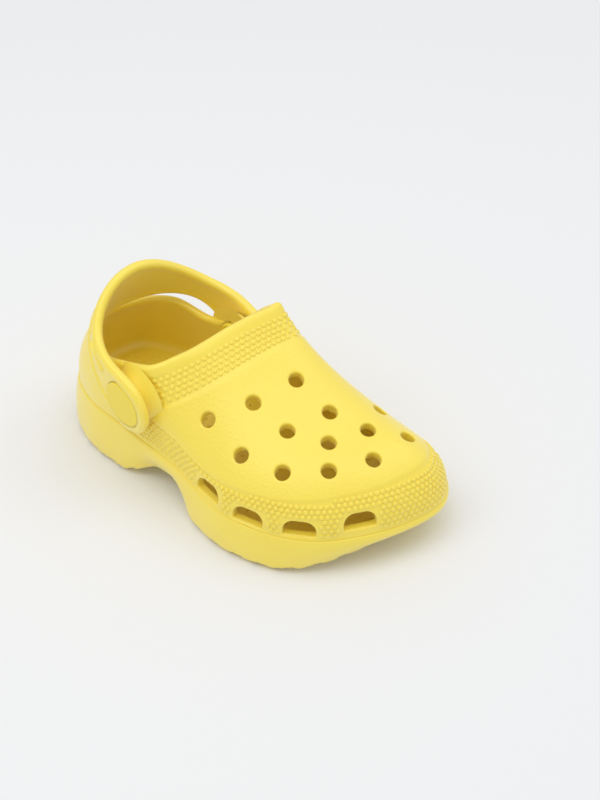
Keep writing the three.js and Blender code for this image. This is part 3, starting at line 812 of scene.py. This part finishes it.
def band_points(guide, distance_map, low, limit, first, last):
    """Staggered rows from a distance low up to the band's far edge, which may cut a row short."""
    points, ups = [], []
    for k in range(12):
        distance = low + k * ROW_PITCH
        row, ways, room = row_points(guide, distance_map, distance, limit, first, last, 0.5 * (k % 2))
        keep = [space > 1.1 and clear_of_openings(p) for p, space in zip(row, room)]
        points += row[keep].tolist()
        ups += ways[keep].tolist()
    return points, ups


domes = dome_tree(body_foam)
rim_places = band_points(edge, climbed, 2.2, RIM_BAND, 3.35, 12.7)
rim_studs = grow_domes("rim_studs", domes, *rim_places, STUD_WIDTH, STUD_HEIGHT)
collar_edge = np.full(SLICES, COLLAR_BAND)
collar_places = band_points(lip, from_lip, LIP_HEM + 1.4, collar_edge, 3.2, 12.1)
collar_studs = grow_domes("collar_studs", domes, *collar_places, STUD_WIDTH, STUD_HEIGHT)

# %% [markdown]
# The footbed carries rows of low nubs that massage the foot and keep it off its own sweat.
# They come from the same tree, wider apart.

# %% Nubs on the footbed
NUB_PITCH = 5.0
nubs = []
for j, y in enumerate(np.arange(-142, 22, NUB_PITCH * 0.87)):
    for x in np.arange(-45, 50, NUB_PITCH):
        nubs.append((x + (j % 2) * NUB_PITCH / 2, y, float(footbed_top(y))))
nubs = np.array(nubs)
inside = np.array([
    surface.ray_cast(Vector((x, y, 14 + z)) * MM, Vector((0, 0, -1)), 0.016)[0] is not None
    for x, y, z in nubs
])
margin = edge_distance(nubs)
central = np.abs(nubs[:, 0] - 2) < 44
nubs = nubs[inside & (margin > 12.5) & central]
footbed_nubs = grow_domes("footbed_nubs", domes, nubs, np.tile((0, 0, 1.0), (len(nubs), 1)), 1.7, 0.5)

# %% [markdown]
# The strap is a ribbon of foam with a thick rolled edge and a thinner middle, and its ends
# swell into round pads. It is made like a relief: first its outline along a curved path, then
# a thickness that depends on how far each point is from that outline.

# %% The strap
STRAP_THICK = 4.6
STRAP_INSIDE = SEAT + CLEARANCE
STRAP_OUTSIDE = STRAP_INSIDE + STRAP_THICK
STRAP_MIDDLE = STRAP_INSIDE + STRAP_THICK / 2
HEAD_ROOM, HEAD_DEPTH = 11.1, 2.4  # the pad's recess for the rivet's head
PAD_RADIUS, ARM_WIDTH, BACK_WIDTH = 14.6, 17.0, 32.0
STRAP_REACH, STRAP_BEND, STRAP_SKEW, BACK_RISE = 48.0, 36.0, -2.4, 3.4
STRAP_FRAME = RIVET_FRAME @ Matrix.Rotation(math.radians(25.5), 4, "X")


def strap_path():
    straight = STRAP_REACH - STRAP_THICK / 2 - STRAP_BEND
    angle = np.linspace(math.pi, 0, 240)
    x = STRAP_MIDDLE * np.cos(angle)
    y = STRAP_BEND * np.sin(angle)
    bend = np.column_stack([x + STRAP_SKEW * (y / STRAP_BEND) ** 2, y + straight])
    arm = np.column_stack([np.full(20, -STRAP_MIDDLE), np.linspace(0, straight, 20, endpoint=False)])
    return np.vstack([arm, bend, (arm * (-1, 1))[::-1]])


path = strap_path()
path_run = np.concatenate([[0], np.cumsum(np.linalg.norm(np.diff(path, axis=0), axis=1))])
STRAP_RUN = path_run[-1]
path_ahead = np.gradient(path, axis=0)
path_ahead /= np.linalg.norm(path_ahead, axis=1)[:, None]


def half_width(d):
    """Half the strap's width at distances d along it from the nearer rivet."""
    arm = mix(PAD_RADIUS, ARM_WIDTH / 2, smooth(0, 2 * PAD_RADIUS, d))
    wide = mix(arm, BACK_WIDTH / 2, smooth(2 * PAD_RADIUS, STRAP_RUN / 2, d))
    return np.where(d < 0, np.sqrt(np.maximum(0, PAD_RADIUS**2 - np.minimum(d, 0) ** 2)), wide)


# Ribs on the outer face of each arm: distance along, height across, half length, half width, slant.
RIBS = [(22.5, 4.0, 5.5, 1.5, 0.12), (43.5, 0.0, 8.5, 1.7, -0.2)]
EDGE_ROLL = STRAP_THICK / 2
ROLL_WIDTH = 3.6


def strap_point(place, v, outer_side):
    """A point of the strap: place along it, v from -1 to 1 across it, on its outer or inner face."""
    d = min(place, STRAP_RUN - place)
    half = float(half_width(np.array(d)))
    b = v * half
    slope = (float(half_width(np.array(d + 0.5))) - half) / 0.5 if d > 0 else 0.0
    border = PAD_RADIUS - math.hypot(d, b) if d < 0 else (half - abs(b)) / math.hypot(1, slope)
    border = max(0.0, border)
    roll = EDGE_ROLL * math.sqrt(max(0.0, 1 - (1 - min(border, EDGE_ROLL) / EDGE_ROLL) ** 2))
    seam = sum(0.26 * math.exp(-(((border - at) / 0.3) ** 2)) for at in (0.9, 2.1))
    if outer_side:
        height = roll - 0.85 * float(smooth(ROLL_WIDTH, ROLL_WIDTH + 1.6, border)) - seam
        for at, level, long, wide, slant in RIBS:
            along_rib, across = d - at, b - level - slant * (d - at)
            reach = math.hypot(max(0.0, abs(along_rib) - long), across) / wide
            height += 1.2 * (1 - float(smooth(0.35, 1.0, reach)))
    else:
        height = -roll + 0.5 * float(smooth(ROLL_WIDTH - 1, ROLL_WIDTH + 1.5, border))
    inside = min(max(place, 0.0), STRAP_RUN)
    x, y = (np.interp(inside, path_run, path[:, c]) for c in (0, 1))
    ax, ay = (np.interp(inside, path_run, path_ahead[:, c]) for c in (0, 1))
    x, y = x + ax * (place - inside), y + ay * (place - inside)
    lift = BACK_RISE * float(smooth(0, STRAP_RUN / 2, d))
    return (x - ay * height, y + ax * height, b + lift)


def strap_rings():
    across = np.sin(np.linspace(-math.pi / 2, math.pi / 2, 43))
    across = mix(across, np.linspace(-1, 1, 43), 0.25)
    tips = -PAD_RADIUS * np.cos(np.radians(np.linspace(3, 88, 26)))
    places = np.concatenate([tips, np.linspace(0, STRAP_RUN, 260), STRAP_RUN - tips[::-1]])
    rings = []
    for place in places:
        ring = [strap_point(place, v, True) for v in across]
        ring += [strap_point(place, v, False) for v in across[-2:0:-1]]
        rings.append(np.array(ring))
    return rings


rings = strap_rings()
ends = [(-STRAP_MIDDLE, -PAD_RADIUS, 0), (STRAP_MIDDLE, -PAD_RADIUS, 0)]
strap = skin("strap_foam", rings, ends[0], ends[1])
strap.data.transform(STRAP_FRAME)
bm = bmesh.new()
bm.from_mesh(strap.data)
bmesh.ops.recalc_face_normals(bm, faces=bm.faces)
bm.to_mesh(strap.data)
bm.free()
recess_floor = STRAP_OUTSIDE - HEAD_DEPTH
combine(strap, [disc(HEAD_ROOM, recess_floor, STRAP_OUTSIDE + 4, s) for s in BOTH], "DIFFERENCE")
combine(strap, [disc(3.6, STRAP_INSIDE - 4, STRAP_OUTSIDE, s) for s in BOTH], "DIFFERENCE")
finish_shading(strap)
strap.data.materials.clear()
strap.data.materials.append(strap_foam)
print("strap", len(strap.data.polygons), "faces, path", round(float(STRAP_RUN), 1), "mm")

# %% [markdown]
# Each rivet is two nylon mouldings that snap together through the foam: a button outside,
# with a shank, and a socket inside. Both are turned shapes, so a profile is spun round.

# %% The rivets
SHANK_END = BOSS_INSIDE - CLEARANCE - 1.1


def rounded(points, radius, steps=5):
    """Rounds the corners of a profile where a radius is given."""
    out = []
    for k, (x, y) in enumerate(points):
        r = radius[k]
        if not r:
            out.append((x, y))
            continue
        here = Vector((x, y))
        before = (Vector(points[k - 1]) - here).normalized() * r
        after = (Vector(points[k + 1]) - here).normalized() * r
        for s in np.linspace(0, 1, steps):
            out.append(tuple(here + before * (1 - s) ** 2 + after * s**2))
    return out


def stud_profile():
    under = STRAP_OUTSIDE - HEAD_DEPTH + CLEARANCE
    face = under + HEAD_DEPTH
    points = [
        (0, SHANK_END), (3.3, SHANK_END), (3.3, under), (10.6, under),
        (10.6, face - 0.15), (8.6, face), (4.5, face + 0.12), (0, face + 0.15),
    ]
    return rounded(points, [0, 0.5, 0, 0.3, 0.7, 0, 0, 0])


def socket_profile():
    face = BOSS_INSIDE - CLEARANCE
    points = [
        (0, face - 2.2), (8, face - 2.2), (8, face), (5, face), (5, SEAT - 0.3),
        (3.6, SEAT - 0.3), (3.6, SHANK_END - 0.3), (0, SHANK_END - 0.3),
    ]
    return rounded(points, [0, 1.0, 0.3, 0, 0.2, 0.2, 0, 0])


rivets = []
for name, side in (("lateral", -1), ("medial", 1)):
    for kind, profile in (("stud", stud_profile()), ("socket", socket_profile())):
        piece = lathe(f"nylon_{kind}_{name}", profile, side)
        bm = bmesh.new()
        bm.from_mesh(piece.data)
        bmesh.ops.recalc_face_normals(bm, faces=bm.faces)
        bm.to_mesh(piece.data)
        bm.free()
        finish_shading(piece, 30)
        piece.data.materials.append(nylon)
        rivets.append((piece, f"rivet_{kind}_{name}"))
print("rivet pieces", [p.name for p, _ in rivets])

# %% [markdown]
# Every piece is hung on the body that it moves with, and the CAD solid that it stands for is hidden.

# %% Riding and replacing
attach(body, "clog")
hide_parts("clog_body")
for piece in (rim_studs, collar_studs, footbed_nubs):
    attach(piece, "clog")
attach(strap, "strap")
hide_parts("heel_strap")
for piece, node in rivets:
    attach(piece, "clog")
    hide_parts(node)

# %% [markdown]
# The clog stands on a flat pale floor in a white room, which gives most of the light. Three
# soft lamps add shape: one high in front, one overhead, and a weak one behind the outer side.

# %% Floor and light
def add_floor():
    mesh = bpy.data.meshes.new("floor")
    mesh.from_pydata([(-3, -3, 0), (3, -3, 0), (3, 3, 0), (-3, 3, 0)], [], [(0, 1, 2, 3)])
    floor = bpy.data.objects.new("floor", mesh)
    floor.location.z = -0.0003
    bpy.context.scene.collection.objects.link(floor)
    material = bpy.data.materials.new("matte paper")
    material.use_nodes = True
    shader = material.node_tree.nodes["Principled BSDF"]
    shader.inputs["Base Color"].default_value = hex_colour("#EDEEF0")
    shader.inputs["Roughness"].default_value = 0.9
    shader.inputs["Specular IOR Level"].default_value = 0.1
    mesh.materials.append(material)
    return floor


def add_lamp(name, place, power, size, colour):
    data = bpy.data.lights.new(name, "AREA")
    data.energy = power
    data.size = size
    data.color = colour
    lamp = bpy.data.objects.new(name, data)
    lamp.location = place
    lamp.rotation_euler = Vector(place).to_track_quat("Z", "Y").to_euler()
    bpy.context.scene.collection.objects.link(lamp)


add_floor()
add_lamp("key lamp", (0.6, -0.5, 1.3), 3.0, 0.9, (1.0, 0.99, 0.97))
add_lamp("fill lamp", (-0.55, 0.3, 0.95), 1.2, 0.5, (1.0, 0.99, 0.97))
add_lamp("top lamp", (-0.2, 0.05, 1.4), 4.0, 1.0, (1.0, 1.0, 1.0))
world = bpy.data.worlds.new("white room")
world.use_nodes = True
world.node_tree.nodes["Background"].inputs["Color"].default_value = (1.0, 1.0, 1.0, 1.0)
world.node_tree.nodes["Background"].inputs["Strength"].default_value = 0.7
bpy.context.scene.world = world
bpy.context.scene.view_settings.view_transform = "Standard"
